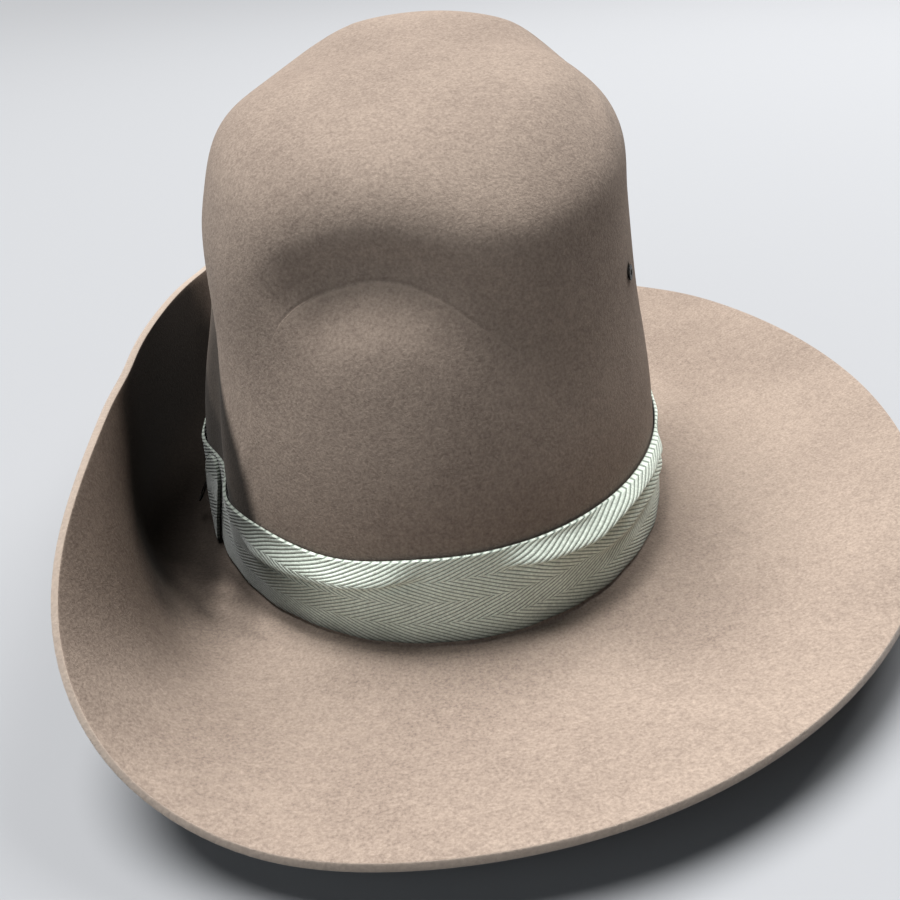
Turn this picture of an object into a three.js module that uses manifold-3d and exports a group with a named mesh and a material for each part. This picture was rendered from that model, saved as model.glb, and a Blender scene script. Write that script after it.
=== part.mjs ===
// A slouch hat: a tall felt crown over a wide, gently dished brim that is turned up at one side,
// with a gathered cotton tape band round the crown's foot. Millimetres, +Z up.
// X runs across the head, Y along it, and the crown's dented face looks towards -Y. The hat rests
// on the flat ring of felt just outside the crown's foot. Turns go round from +X towards +Y.
import * as THREE from "three";
import { mergeVertices } from "three/addons/utils/BufferGeometryUtils.js";
import Module from "manifold-3d";

// Driving dimensions
const HEAD_WIDTH = 163.4;
const HEAD_LENGTH = 198.6;
const FELT = 2.8;
const CROWN_HEIGHT = 156;
const BRIM_WIDTH = 88;
const BREAK_RADIUS = 1.2;
const CLEARANCE = 0.3;

// The crown's forward slope on top, and how much higher its right side stands
const TOP_SLOPE_ALONG = 0.22;
const TOP_SLOPE_ACROSS = 0.077;

// The tape band and the folded tab that closes it
const TAPE_WIDTH = 31;
const TAPE_THICKNESS = 1.1;
const TAB_WIDTH = 13;
const TAB_THICKNESS = 1.2;
const TAB_LIFT = 0.3;
const TAB_TURN = 196;

// The wire loop at the band's closure
const LOOP_LENGTH = 8;
const LOOP_BREADTH = 4.4;
const LOOP_WIRE = 1.0;
const LOOP_TAPER = 0.25;
const LOOP_TURN = 188;
const LOOP_HEIGHT = 11;

// The vent eyelet
const EYELET_FLANGE = 5.2;
const EYELET_BARREL = 3.4;
const EYELET_BORE = 2.2;
const EYELET_LIP = 0.5;
const EYELET_TURN = 333;
const EYELET_HEIGHT = 92;

// The eyelet's drill, as a multiple of the felt's thickness
const DRILL_LENGTH = 4;

// Mesh fineness
const COLUMNS = 72;
const CROWN_ROWS = 15;
const ROW_CROWDING = 0.4;
const ROUND_SIDES = 16;
const WIRE_SIDES = 8;
const TAB_COLUMNS = 6;
const TAB_ROWS = 7;
const LOOP_STEPS = 20;
const SAME_POINT = 1e-4;
const HALVINGS = 40;

const DEGREE = Math.PI / 180;
const FOOT_WIDTH = HEAD_WIDTH / 2 + FELT;
const FOOT_LENGTH = HEAD_LENGTH / 2 + FELT;

// How high above the brim's face the band starts
const BAND_FOOT = BREAK_RADIUS + CLEARANCE;

// Crown sections from the foot up to the apex. height is a share of the crown's height, spread a
// share of the foot's half sizes, aside a share of its half width.
const CROWN_SECTIONS = [
  { height: 0.0, spread: 1.0, aside: 0.0 },
  { height: 0.25, spread: 0.99, aside: -0.02 },
  { height: 0.5, spread: 0.89, aside: 0.0 },
  { height: 0.7, spread: 0.85, aside: -0.003 },
  { height: 0.82, spread: 0.814, aside: 0.013 },
  { height: 0.92, spread: 0.7, aside: -0.014 },
  { height: 0.98, spread: 0.505, aside: -0.016 },
  { height: 1.0, spread: 0.0, aside: -0.016 },
];

// How the brim rises towards its cut edge, in degrees, at turns round the hat, and the share of
// its width where it has stopped bending. It stands up past the vertical along the left side and
// lies in a shallow dish everywhere else.
const BRIM_RISES = [
  { turn: 0, rise: 22, bent: 0.6 },
  { turn: 38, rise: 19.5, bent: 0.58 },
  { turn: 55, rise: 15, bent: 0.55 },
  { turn: 90, rise: 13, bent: 0.54 },
  { turn: 105, rise: 17, bent: 0.6 },
  { turn: 115, rise: 32, bent: 0.72 },
  { turn: 124, rise: 56, bent: 0.68 },
  { turn: 133, rise: 80, bent: 0.52 },
  { turn: 145, rise: 94, bent: 0.44 },
  { turn: 175, rise: 100, bent: 0.42 },
  { turn: 191, rise: 99, bent: 0.43 },
  { turn: 210, rise: 88, bent: 0.44 },
  { turn: 220, rise: 76, bent: 0.49 },
  { turn: 230, rise: 55, bent: 0.69 },
  { turn: 238.5, rise: 34, bent: 0.73 },
  { turn: 249, rise: 17, bent: 0.57 },
  { turn: 256.5, rise: 13.4, bent: 0.54 },
  { turn: 271, rise: 15.4, bent: 0.55 },
  { turn: 290, rise: 17.8, bent: 0.58 },
  { turn: 311, rise: 19.6, bent: 0.59 },
  { turn: 345, rise: 22, bent: 0.6 },
  { turn: 360, rise: 22, bent: 0.6 },
];

// Shares of the brim's width: its rows, and where it starts to bend.
const BRIM_ROWS = [0, 0.025, 0.06, 0.085, 0.14, 0.21, 0.3, 0.42, 0.58, 0.78, 1];
const BEND_FROM = 0.085;
const BEND_STEPS = 24;

// The arched fold in the crown's face. across is a share of the foot's half width, height a share
// of the crown's height, depth a share of the fold's greatest depth. The fold fades out where the
// wall turns away from the front.
const FOLD_DEPTH = 10;
const FOLD_FADE = 0.4;
const FOLD_REACH_ABOVE = 0.22;
const FOLD_REACH_BELOW = 0.25;
const FACE_FOLD = [
  { across: -0.68, height: 0.59, depth: 0.0 },
  { across: -0.54, height: 0.67, depth: 0.3 },
  { across: -0.42, height: 0.735, depth: 0.75 },
  { across: -0.28, height: 0.76, depth: 1.0 },
  { across: -0.13, height: 0.765, depth: 1.0 },
  { across: 0.02, height: 0.745, depth: 0.8 },
  { across: 0.16, height: 0.695, depth: 0.45 },
  { across: 0.32, height: 0.595, depth: 0.32 },
  { across: 0.46, height: 0.47, depth: 0.15 },
  { across: 0.62, height: 0.32, depth: 0.0 },
];

// The upright valley at the crown's left corner: its turn at heights, and its depth there.
const VALLEY_DEPTH = 7;
const VALLEY_REACH = 15;
const SIDE_VALLEY = [
  { height: 0.01, turn: 206, depth: 0.0 },
  { height: 0.1, turn: 203, depth: 0.5 },
  { height: 0.2, turn: 201, depth: 0.95 },
  { height: 0.3, turn: 199, depth: 1.0 },
  { height: 0.41, turn: 196, depth: 0.8 },
  { height: 0.53, turn: 192, depth: 0.5 },
  { height: 0.63, turn: 188, depth: 0.25 },
  { height: 0.74, turn: 184, depth: 0.0 },
];

// Shallow dents pressed down into the top. across and along are shares of the foot's half sizes,
// reach a share of its half width.
const DENT_DEPTH = 5;
const TOP_DENTS = [
  { across: -0.5, along: 0.32, reach: 0.43, depth: 1.0 },
  { across: 0.62, along: 0.16, reach: 0.26, depth: 0.8 },
];

// Rows of the tape as shares of its width, and the ridges gathered into it: where each starts and
// ends round the band and up it, its half breadth as a share of the tape's width, and its height
// as a share of the tape's thickness.
const TAPE_ROWS = [0, 0.2, 0.4, 0.56, 0.7, 0.84, 1];
const TAPE_BACK_ROWS = [0, 0.2, 0.4, 0.7, 1];
const TAPE_GATHERS = [
  { from: 231, to: 262, low: 0.86, high: 0.72, reach: 0.2, rise: 1.5 },
  { from: 290, to: 325, low: 0.7, high: 0.84, reach: 0.22, rise: 1.6 },
];

const FELT_FINISH = { color: 0x9c8674, roughness: 0.95, metalness: 0 };
const TAPE_FINISH = { color: 0x8d9486, roughness: 0.9, metalness: 0 };
const BLACK_METAL = { color: 0x1c1b1a, roughness: 0.45, metalness: 0.9 };

// Eases from 0 to 1 as t goes from 0 to 1, and stays flat beyond.
function ease(t) {
  const x = Math.min(1, Math.max(0, t));
  return x * x * (3 - 2 * x);
}

// A round hump that is 1 at t = 0 and nothing past t = -1 and 1.
function hump(t) {
  const x = Math.min(1, Math.abs(t));
  return (1 - x * x) ** 2;
}

// A smooth curve through a table's rows, which doesn't overshoot them and is flat past its ends.
function curveThrough(rows, key, value) {
  const at = rows.map((row) => row[key]);
  const out = rows.map((row) => row[value]);
  const steps = at.slice(1).map((a, i) => (out[i + 1] - out[i]) / (a - at[i]));
  const slopes = out.map((_, i) => {
    if (i === 0 || i === out.length - 1) return i === 0 ? steps[0] : steps[i - 1];
    const product = steps[i - 1] * steps[i];
    return product > 0 ? (2 * product) / (steps[i - 1] + steps[i]) : 0;
  });
  return (x) => {
    if (x <= at[0]) return out[0];
    if (x >= at[at.length - 1]) return out[out.length - 1];
    const i = at.findIndex((a) => a > x) - 1;
    const span = at[i + 1] - at[i];
    const t = (x - at[i]) / span;
    const rest = 1 - t;
    const near = out[i] * (1 + 2 * t) + slopes[i] * span * t;
    const far = out[i + 1] * (3 - 2 * t) - slopes[i + 1] * span * rest;
    return near * rest * rest + far * t * t;
  };
}

const climbedSections = CROWN_SECTIONS.map((section, i) => ({
  ...section,
  climb: i / (CROWN_SECTIONS.length - 1),
}));
const heightAt = curveThrough(climbedSections, "climb", "height");
const spreadAt = curveThrough(climbedSections, "climb", "spread");
const asideAt = curveThrough(climbedSections, "climb", "aside");
const riseAt = curveThrough(BRIM_RISES, "turn", "rise");
const bentAt = curveThrough(BRIM_RISES, "turn", "bent");
const foldHeightAt = curveThrough(FACE_FOLD, "across", "height");
const foldDepthAt = curveThrough(FACE_FOLD, "across", "depth");
const valleyTurnAt = curveThrough(SIDE_VALLEY, "height", "turn");
const valleyDepthAt = curveThrough(SIDE_VALLEY, "height", "depth");

// The level way straight out of the oval at a turn.
function outward(turn) {
  const along = FOOT_LENGTH * Math.cos(turn);
  const across = FOOT_WIDTH * Math.sin(turn);
  return new THREE.Vector3(along, across, 0).normalize();
}

// How far the arched fold pushes the crown's face in.
function foldPush(turn, height, spread) {
  const across = spread * Math.cos(turn);
  const facing = ease(-Math.sin(turn) / FOLD_FADE);
  const above = height - foldHeightAt(across);
  const reach = above > 0 ? FOLD_REACH_ABOVE : FOLD_REACH_BELOW;
  return FOLD_DEPTH * foldDepthAt(across) * facing * (1 - ease(Math.abs(above) / reach));
}

// How far the side valley pushes the crown's left corner in.
function valleyPush(turn, height) {
  const degrees = turn / DEGREE;
  const offset = (degrees - valleyTurnAt(height)) / VALLEY_REACH;
  return VALLEY_DEPTH * valleyDepthAt(height) * hump(offset);
}

// How far the dents press the crown's top down.
function topPush(point) {
  const across = point.x / FOOT_WIDTH;
  const along = point.y / FOOT_LENGTH;
  return TOP_DENTS.reduce((sum, dent) => {
    const away = Math.hypot(across - dent.across, along - dent.along) / dent.reach;
    return sum + DENT_DEPTH * dent.depth * hump(away);
  }, 0);
}

// A point on the crown's outer face: climb is 0 at the foot and 1 at the apex.
function crownPoint(turn, climb) {
  const height = heightAt(climb);
  const spread = spreadAt(climb);
  const x = FOOT_WIDTH * (spread * Math.cos(turn) + asideAt(climb));
  const y = FOOT_LENGTH * spread * Math.sin(turn);
  const point = new THREE.Vector3(x, y, FELT + CROWN_HEIGHT * height);
  const slope = Math.max(0, 2 * height - 1);
  point.z += slope * (TOP_SLOPE_ACROSS * x + TOP_SLOPE_ALONG * y);
  const push = foldPush(turn, height, spread) + valleyPush(turn, height);
  point.addScaledVector(outward(turn), -push);
  point.z -= slope * topPush(point);
  return point;
}

// A point in the tight bend from the crown's wall to the brim: bend goes from 0 to 1.
function breakPoint(turn, bend) {
  const angle = bend * 90 * DEGREE;
  const foot = crownPoint(turn, 0);
  foot.addScaledVector(outward(turn), BREAK_RADIUS * (1 - Math.cos(angle)));
  foot.z = FELT + BREAK_RADIUS * (1 - Math.sin(angle));
  return foot;
}

// A point on the brim's upper face: share is 0 at the break and 1 at the cut edge. The brim is
// followed outwards in short steps, each tilted by as much as the brim has bent by then.
function brimPoint(turn, share) {
  const point = breakPoint(turn, 1);
  const rise = riseAt(turn / DEGREE) * DEGREE;
  const bending = bentAt(turn / DEGREE) - BEND_FROM;
  const step = (share * BRIM_WIDTH) / BEND_STEPS;
  const out = outward(turn);
  for (let i = 0; i < BEND_STEPS; i += 1) {
    const at = (share * (i + 0.5)) / BEND_STEPS;
    const tilt = rise * ease((at - BEND_FROM) / bending);
    point.addScaledVector(out, step * Math.cos(tilt));
    point.z += step * Math.sin(tilt);
  }
  return point;
}

// The outer rings of the felt, from just under the apex down the crown and out to the cut edge.
// Behind the band they lie at the band's own rows, so that the two faces run side by side.
function feltRings() {
  const bandTop = climbTo((BAND_FOOT + TAPE_WIDTH) / CROWN_HEIGHT);
  const places = [];
  for (let i = CROWN_ROWS - 1; i > 0; i -= 1) {
    const climb = bandTop + (1 - bandTop) * crowded(i / CROWN_ROWS);
    places.push((turn) => crownPoint(turn, climb));
  }
  TAPE_BACK_ROWS.toReversed().forEach((share) => {
    places.push((turn) => wallPoint(turn, BAND_FOOT + share * TAPE_WIDTH, 0));
  });
  places.push((turn) => breakPoint(turn, 0.5));
  BRIM_ROWS.forEach((share) => places.push((turn) => brimPoint(turn, share)));
  return places.map((place) => ringOf(place));
}

// Shifts a share of the climb so that rows lie closer together half way up, where the folds are.
function crowded(share) {
  const round = share * 360 * DEGREE;
  return share + (ROW_CROWDING * Math.sin(round)) / (360 * DEGREE);
}

// The climb at which the crown reaches a share of its height.
function climbTo(height) {
  let low = 0;
  let high = 1;
  for (let i = 0; i < HALVINGS; i += 1) {
    const middle = (low + high) / 2;
    if (heightAt(middle) < height) low = middle;
    else high = middle;
  }
  return (low + high) / 2;
}

// One ring of points, a column for each turn.
function ringOf(place) {
  return Array.from({ length: COLUMNS }, (_, i) => place((i / COLUMNS) * 360 * DEGREE));
}

// The way out of a surface at each point of its rings, from the points around it.
function normalsOf(rings, apex) {
  return rings.map((ring, r) =>
    ring.map((point, c) => {
      const before = r === 0 ? apex : rings[r - 1][c];
      const after = r === rings.length - 1 ? point : rings[r + 1][c];
      const down = after.clone().sub(before);
      const left = ring[(c + 1) % COLUMNS];
      const right = ring[(c + COLUMNS - 1) % COLUMNS];
      return down.cross(left.clone().sub(right)).normalize();
    }),
  );
}

// A closed surface through rings of equal length, with a point at each end.
function closedRings(start, rings, end) {
  const points = [start, ...rings.flat(), end];
  const count = rings[0].length;
  const faces = [];
  const at = (r, c) => 1 + r * count + (c % count);
  for (let c = 0; c < count; c += 1) {
    faces.push(0, at(0, c), at(0, c + 1));
    faces.push(points.length - 1, at(rings.length - 1, c + 1), at(rings.length - 1, c));
  }
  for (let r = 0; r < rings.length - 1; r += 1) {
    for (let c = 0; c < count; c += 1) {
      faces.push(at(r, c), at(r + 1, c), at(r + 1, c + 1));
      faces.push(at(r, c), at(r + 1, c + 1), at(r, c + 1));
    }
  }
  return geometryOf(points, faces);
}

// A ring-shaped surface: rings joined one to the next, and the last to the first. Its quads are
// split the other way, so that the band's rising inner rings are split as the felt behind them.
function closedLoop(rings) {
  const count = rings[0].length;
  const faces = [];
  const at = (r, c) => (r % rings.length) * count + (c % count);
  for (let r = 0; r < rings.length; r += 1) {
    for (let c = 0; c < count; c += 1) {
      faces.push(at(r, c), at(r + 1, c), at(r, c + 1));
      faces.push(at(r, c + 1), at(r + 1, c), at(r + 1, c + 1));
    }
  }
  return geometryOf(rings.flat(), faces);
}

function geometryOf(points, faces) {
  const geometry = new THREE.BufferGeometry().setFromPoints(points);
  geometry.setIndex(faces);
  geometry.computeVertexNormals();
  return geometry;
}

// A closed geometry as a solid that can be cut.
function solidOf(wasm, geometry) {
  const plain = geometry.clone();
  plain.deleteAttribute("normal");
  plain.deleteAttribute("uv");
  const merged = mergeVertices(plain, SAME_POINT);
  const mesh = new wasm.Mesh({
    numProp: 3,
    vertProperties: merged.attributes.position.array,
    triVerts: new Uint32Array(merged.index.array),
  });
  return new wasm.Manifold(mesh);
}

function geometryOfSolid(solid) {
  const mesh = solid.getMesh();
  const geometry = new THREE.BufferGeometry();
  geometry.setAttribute("position", new THREE.BufferAttribute(mesh.vertProperties, 3));
  geometry.setIndex(new THREE.BufferAttribute(mesh.triVerts, 1));
  geometry.computeVertexNormals();
  return geometry;
}

// Crown and brim in one piece of felt: the outer face, and the same face a wall further in.
function makeFeltShell() {
  const outer = feltRings();
  const apex = crownPoint(0, 1);
  const normals = normalsOf(outer, apex);
  const up = normals[0].reduce((sum, n) => sum.add(n), new THREE.Vector3()).normalize();
  const inner = outer.map((ring, r) =>
    ring.map((point, c) => point.clone().addScaledVector(normals[r][c], -FELT)),
  );
  const innerApex = apex.clone().addScaledVector(up, -FELT);
  return closedRings(apex, [...outer, ...inner.reverse()], innerApex);
}

// A point on the crown's wall at a height above the brim, moved out by a level offset.
function wallPoint(turn, height, offset) {
  const point = crownPoint(turn, climbTo(height / CROWN_HEIGHT));
  return point.addScaledVector(outward(turn), offset);
}

// How far the gathers lift the tape at a turn and a share of its width.
function gatherLift(turn, share) {
  const degrees = turn / DEGREE;
  return TAPE_GATHERS.reduce((sum, gather) => {
    const way = (degrees - gather.from) / (gather.to - gather.from);
    const line = gather.low + (gather.high - gather.low) * way;
    const lift = hump(2 * way - 1) * hump((share - line) / gather.reach);
    return sum + TAPE_THICKNESS * gather.rise * lift;
  }, 0);
}

// The tape band: its outer rings up the crown and its inner rings down again.
function makeBand() {
  const ring = (share, side) =>
    ringOf((turn) => {
      const lift = side * (TAPE_THICKNESS + gatherLift(turn, share));
      return wallPoint(turn, BAND_FOOT + share * TAPE_WIDTH, CLEARANCE + lift);
    });
  const inner = TAPE_BACK_ROWS.map((share) => ring(share, 0));
  const outer = TAPE_ROWS.map((share) => ring(share, 1));
  return closedLoop([...outer.reverse(), ...inner]);
}

// How far out the band's face stands from the wall, with the gap that keeps a piece off it.
const OVER_BAND = CLEARANCE + TAPE_THICKNESS + CLEARANCE;

// The turn that lies a distance round the wall from another turn, both in degrees.
function turnAlong(degrees, distance) {
  const turn = degrees * DEGREE;
  const wide = FOOT_WIDTH * Math.sin(turn);
  const long = FOOT_LENGTH * Math.cos(turn);
  return turn + distance / Math.hypot(wide, long);
}

// The tab: a folded end of tape with a round top, laid over the band where it closes. It is lifted
// a little, because the band's flat facets stand out past its true curve there.
function makeTab() {
  const points = [];
  const half = TAB_WIDTH / 2;
  const top = BAND_FOOT + TAPE_WIDTH - CLEARANCE;
  for (const side of [1, 0]) {
    for (let r = 0; r <= TAB_ROWS; r += 1) {
      for (let c = 0; c <= TAB_COLUMNS; c += 1) {
        const across = (2 * c) / TAB_COLUMNS - 1;
        const round = half * (1 - Math.sqrt(1 - across * across));
        const height = BAND_FOOT + (top - round - BAND_FOOT) * (r / TAB_ROWS);
        const turn = turnAlong(TAB_TURN, across * half);
        points.push(wallPoint(turn, height, OVER_BAND + TAB_LIFT + side * TAB_THICKNESS));
      }
    }
  }
  return geometryOf(points, slabFaces(TAB_ROWS, TAB_COLUMNS));
}

// Faces of a slab whose outer grid of points comes first and its inner grid second.
function slabFaces(rows, columns) {
  const faces = [];
  const sheet = (rows + 1) * (columns + 1);
  const at = (r, c) => r * (columns + 1) + c;
  for (let r = 0; r < rows; r += 1) {
    for (let c = 0; c < columns; c += 1) {
      const corners = [at(r, c), at(r, c + 1), at(r + 1, c + 1), at(r + 1, c)];
      faces.push(corners[0], corners[1], corners[2]);
      faces.push(corners[0], corners[2], corners[3]);
      faces.push(sheet + corners[0], sheet + corners[2], sheet + corners[1]);
      faces.push(sheet + corners[0], sheet + corners[3], sheet + corners[2]);
    }
  }
  const rim = [];
  for (let c = 0; c < columns; c += 1) rim.push(at(0, c));
  for (let r = 0; r < rows; r += 1) rim.push(at(r, columns));
  for (let c = columns; c > 0; c -= 1) rim.push(at(rows, c));
  for (let r = rows; r > 0; r -= 1) rim.push(at(r, 0));
  rim.forEach((a, i) => {
    const b = rim[(i + 1) % rim.length];
    faces.push(a, sheet + a, sheet + b);
    faces.push(a, sheet + b, b);
  });
  return faces;
}

// The wire loop: a rounded drop that lies against the band beside the tab, its narrow end up.
function makeLoop() {
  const rings = [];
  const turn = LOOP_TURN * DEGREE;
  const out = outward(turn);
  const round = new THREE.Vector3(-out.y, out.x, 0);
  for (let i = 0; i < LOOP_STEPS; i += 1) {
    const angle = (i / LOOP_STEPS) * 360 * DEGREE;
    const narrow = 1 - (LOOP_TAPER / 2) * (1 + Math.cos(angle));
    const side = (LOOP_BREADTH / 2) * Math.sin(angle) * narrow;
    const place = turnAlong(LOOP_TURN, side);
    const height = LOOP_HEIGHT + (LOOP_LENGTH / 2) * Math.cos(angle);
    const centre = wallPoint(place, height, OVER_BAND + LOOP_WIRE / 2);
    const away = new THREE.Vector3(0, 0, Math.cos(angle));
    away.addScaledVector(round, Math.sin(angle));
    rings.push(
      Array.from({ length: WIRE_SIDES }, (_, k) => {
        const bend = (k / WIRE_SIDES) * 360 * DEGREE;
        const point = centre.clone().addScaledVector(away, (LOOP_WIRE / 2) * Math.cos(bend));
        return point.addScaledVector(out, (-LOOP_WIRE / 2) * Math.sin(bend));
      }),
    );
  }
  return closedLoop(rings);
}

// The eyelet's outline from its axis: a barrel through the felt with a lip over each face.
function makeEyelet() {
  const bore = EYELET_BORE / 2;
  const barrel = EYELET_BARREL / 2;
  const flange = EYELET_FLANGE / 2;
  const seat = FELT / 2 + CLEARANCE;
  const face = seat + EYELET_LIP;
  const outline = [
    new THREE.Vector2(bore, -face),
    new THREE.Vector2(flange, -face),
    new THREE.Vector2(flange, -seat),
    new THREE.Vector2(barrel, -seat),
    new THREE.Vector2(barrel, seat),
    new THREE.Vector2(flange, seat),
    new THREE.Vector2(flange, face),
    new THREE.Vector2(bore, face),
    new THREE.Vector2(bore, -face),
  ];
  return new THREE.LatheGeometry(outline, ROUND_SIDES);
}

// Where the eyelet sits: the middle of the felt's wall, facing out of it.
function eyeletFrame() {
  const turn = EYELET_TURN * DEGREE;
  const here = wallPoint(turn, EYELET_HEIGHT, 0);
  const above = wallPoint(turn, EYELET_HEIGHT + 1, 0);
  const beside = wallPoint(turn + DEGREE, EYELET_HEIGHT, 0);
  const out = beside.sub(here).cross(above.sub(here)).normalize();
  const middle = here.addScaledVector(out, -FELT / 2);
  const turned = new THREE.Quaternion().setFromUnitVectors(new THREE.Vector3(0, 1, 0), out);
  return new THREE.Matrix4().compose(middle, turned, new THREE.Vector3(1, 1, 1));
}

// Cuts the eyelet's hole through the felt.
function pierce(wasm, felt, frame) {
  const radius = EYELET_BARREL / 2 + CLEARANCE;
  const through = FELT * DRILL_LENGTH;
  const drill = new THREE.CylinderGeometry(radius, radius, through, ROUND_SIDES);
  drill.applyMatrix4(frame);
  return geometryOfSolid(solidOf(wasm, felt).subtract(solidOf(wasm, drill)));
}

function nameMesh(name, geometry, finish) {
  const mesh = new THREE.Mesh(geometry, new THREE.MeshStandardMaterial(finish));
  mesh.name = name;
  return mesh;
}

const wasm = await Module();
wasm.setup();

const frame = eyeletFrame();
const hat = new THREE.Group();
hat.add(nameMesh("felt_body", pierce(wasm, makeFeltShell(), frame), FELT_FINISH));
hat.add(nameMesh("tape_band", makeBand(), TAPE_FINISH));
hat.add(nameMesh("band_tab", makeTab(), TAPE_FINISH));
hat.add(nameMesh("band_loop", makeLoop(), BLACK_METAL));

const eyelet = nameMesh("vent_eyelet", makeEyelet(), BLACK_METAL);
eyelet.applyMatrix4(frame);
hat.add(eyelet);

// The hat's middle over the ground, seen from above, is the origin.
const box = new THREE.Box3().setFromObject(hat);
const centre = box.getCenter(new THREE.Vector3());
hat.position.set(-centre.x, -centre.y, -box.min.z);

const group = new THREE.Group();
group.add(hat);
export default group;
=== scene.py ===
"""A slouch hat in fur felt: a tall dented crown, a wide brim turned up at one side and a gathered
herringbone tape round the crown's foot, with its tab, wire loop and vent eyelet."""

import logging
import math
from dataclasses import dataclass
from enum import Enum

import bmesh
import bpy
import numpy as np
from mathutils import Matrix, Vector
from mathutils.bvhtree import BVHTree


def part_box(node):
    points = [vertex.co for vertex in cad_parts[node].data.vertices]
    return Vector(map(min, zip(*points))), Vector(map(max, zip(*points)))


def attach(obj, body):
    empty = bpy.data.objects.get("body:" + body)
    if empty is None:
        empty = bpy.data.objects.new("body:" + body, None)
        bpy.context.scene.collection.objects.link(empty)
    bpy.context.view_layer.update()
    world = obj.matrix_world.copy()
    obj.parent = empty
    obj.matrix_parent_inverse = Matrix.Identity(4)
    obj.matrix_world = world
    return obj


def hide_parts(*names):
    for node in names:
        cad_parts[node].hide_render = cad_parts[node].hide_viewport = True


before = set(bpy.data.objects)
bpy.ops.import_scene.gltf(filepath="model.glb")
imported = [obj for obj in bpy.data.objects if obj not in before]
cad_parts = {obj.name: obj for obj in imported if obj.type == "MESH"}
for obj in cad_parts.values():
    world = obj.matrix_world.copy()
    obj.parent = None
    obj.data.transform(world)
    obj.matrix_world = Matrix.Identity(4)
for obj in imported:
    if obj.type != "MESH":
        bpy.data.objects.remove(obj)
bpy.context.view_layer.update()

LOG = logging.getLogger("hat")
MM = 0.001
SAME_POINT = 1e-6
SHARP_EDGE = 50.0
NOISE_SPAN = (0.3, 0.7)

Rows = tuple[tuple[float, float], ...]
Colour = tuple[float, float, float]


class Slot(Enum):
    """The record's material slots."""

    FELT = "felt"
    TAPE = "tape"
    BLACK_METAL = "black_metal"


def eased(share: np.ndarray) -> np.ndarray:
    """Eases from 0 to 1 and stays flat beyond.

    Args:
        share: Any numbers; 0 and below give 0, 1 and above give 1.

    Returns:
        The eased numbers.
    """
    flat = np.clip(share, 0.0, 1.0)
    return flat * flat * (3.0 - 2.0 * flat)


def eased_between(values: np.ndarray, span: tuple[float, float]) -> np.ndarray:
    """Eases from 0 at a span's first end to 1 at its last, whichever of them is higher."""
    return eased((values - span[0]) / (span[1] - span[0]))


def through(rows: Rows, at: np.ndarray) -> np.ndarray:
    """Reads a table of (place, value) rows at places between them.

    Args:
        rows: The table, with its places rising.
        at: The places to read.

    Returns:
        The value at each place, held flat past the table's ends.
    """
    places, values = zip(*rows)
    return np.interp(at, places, values)


def points_of(mesh: bpy.types.Mesh) -> np.ndarray:
    """Gives a mesh's points as an array of rows."""
    points = np.empty(len(mesh.vertices) * 3)
    mesh.vertices.foreach_get("co", points)
    return points.reshape(-1, 3)


def normals_of(mesh: bpy.types.Mesh) -> np.ndarray:
    """Gives a mesh's point normals as an array of rows."""
    normals = np.empty(len(mesh.vertices) * 3)
    mesh.vertex_normals.foreach_get("vector", normals)
    return normals.reshape(-1, 3)


def move_points(mesh: bpy.types.Mesh, points: np.ndarray) -> None:
    """Puts a mesh's points at new places.

    Args:
        mesh: The mesh that changes.
        points: Its new points, one row each.
    """
    mesh.vertices.foreach_set("co", points.ravel())
    mesh.update()


def apply_modifiers(piece: bpy.types.Object) -> None:
    """Bakes a piece's modifiers into its mesh."""
    depsgraph = bpy.context.evaluated_depsgraph_get()
    mesh = bpy.data.meshes.new_from_object(piece.evaluated_get(depsgraph))
    piece.modifiers.clear()
    piece.data = mesh


def shade_smooth(piece: bpy.types.Object) -> None:
    """Shades every face of a piece smooth."""
    piece.data.polygons.foreach_set("use_smooth", [True] * len(piece.data.polygons))
    piece.data.update()


def merged_solid(node: str) -> bmesh.types.BMesh:
    """Copies a CAD node's triangles into one mesh whose points are merged.

    Args:
        node: The CAD node's name.

    Returns:
        The mesh, for further work.
    """
    solid = bmesh.new()
    solid.from_mesh(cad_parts[node].data)
    bmesh.ops.remove_doubles(solid, verts=solid.verts[:], dist=SAME_POINT)
    return solid


def join_quads(solid: bmesh.types.BMesh) -> None:
    """Joins pairs of triangles into four-sided faces."""
    bmesh.ops.join_triangles(
        solid,
        faces=solid.faces[:],
        angle_face_threshold=0.8,
        angle_shape_threshold=1.2,
    )


def round_sharp_edges(solid: bmesh.types.BMesh, sharper_than: float, width: float) -> None:
    """Rounds the edges of a solid that turn by more than an angle.

    Args:
        solid: The mesh that changes.
        sharper_than: The angle in degrees.
        width: The bevel's width in metres.
    """
    limit = math.radians(sharper_than)
    sharp = [edge for edge in solid.edges if edge.calc_face_angle(0.0) > limit]
    bmesh.ops.bevel(
        solid,
        geom=sharp,
        affect="EDGES",
        offset=width,
        segments=2,
        profile=0.5,
        material=-1,
    )


def even_ways(count: int) -> np.ndarray:
    """Spreads unit vectors evenly over the whole sphere.

    Args:
        count: How many.

    Returns:
        The vectors, one row each.
    """
    steps = np.arange(count) + 0.5
    height = 1 - 2 * steps / count
    turn = steps * math.pi * (3 - math.sqrt(5))
    level = np.sqrt(1 - height**2)
    return np.stack([level * np.cos(turn), level * np.sin(turn), height], axis=1)


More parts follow.
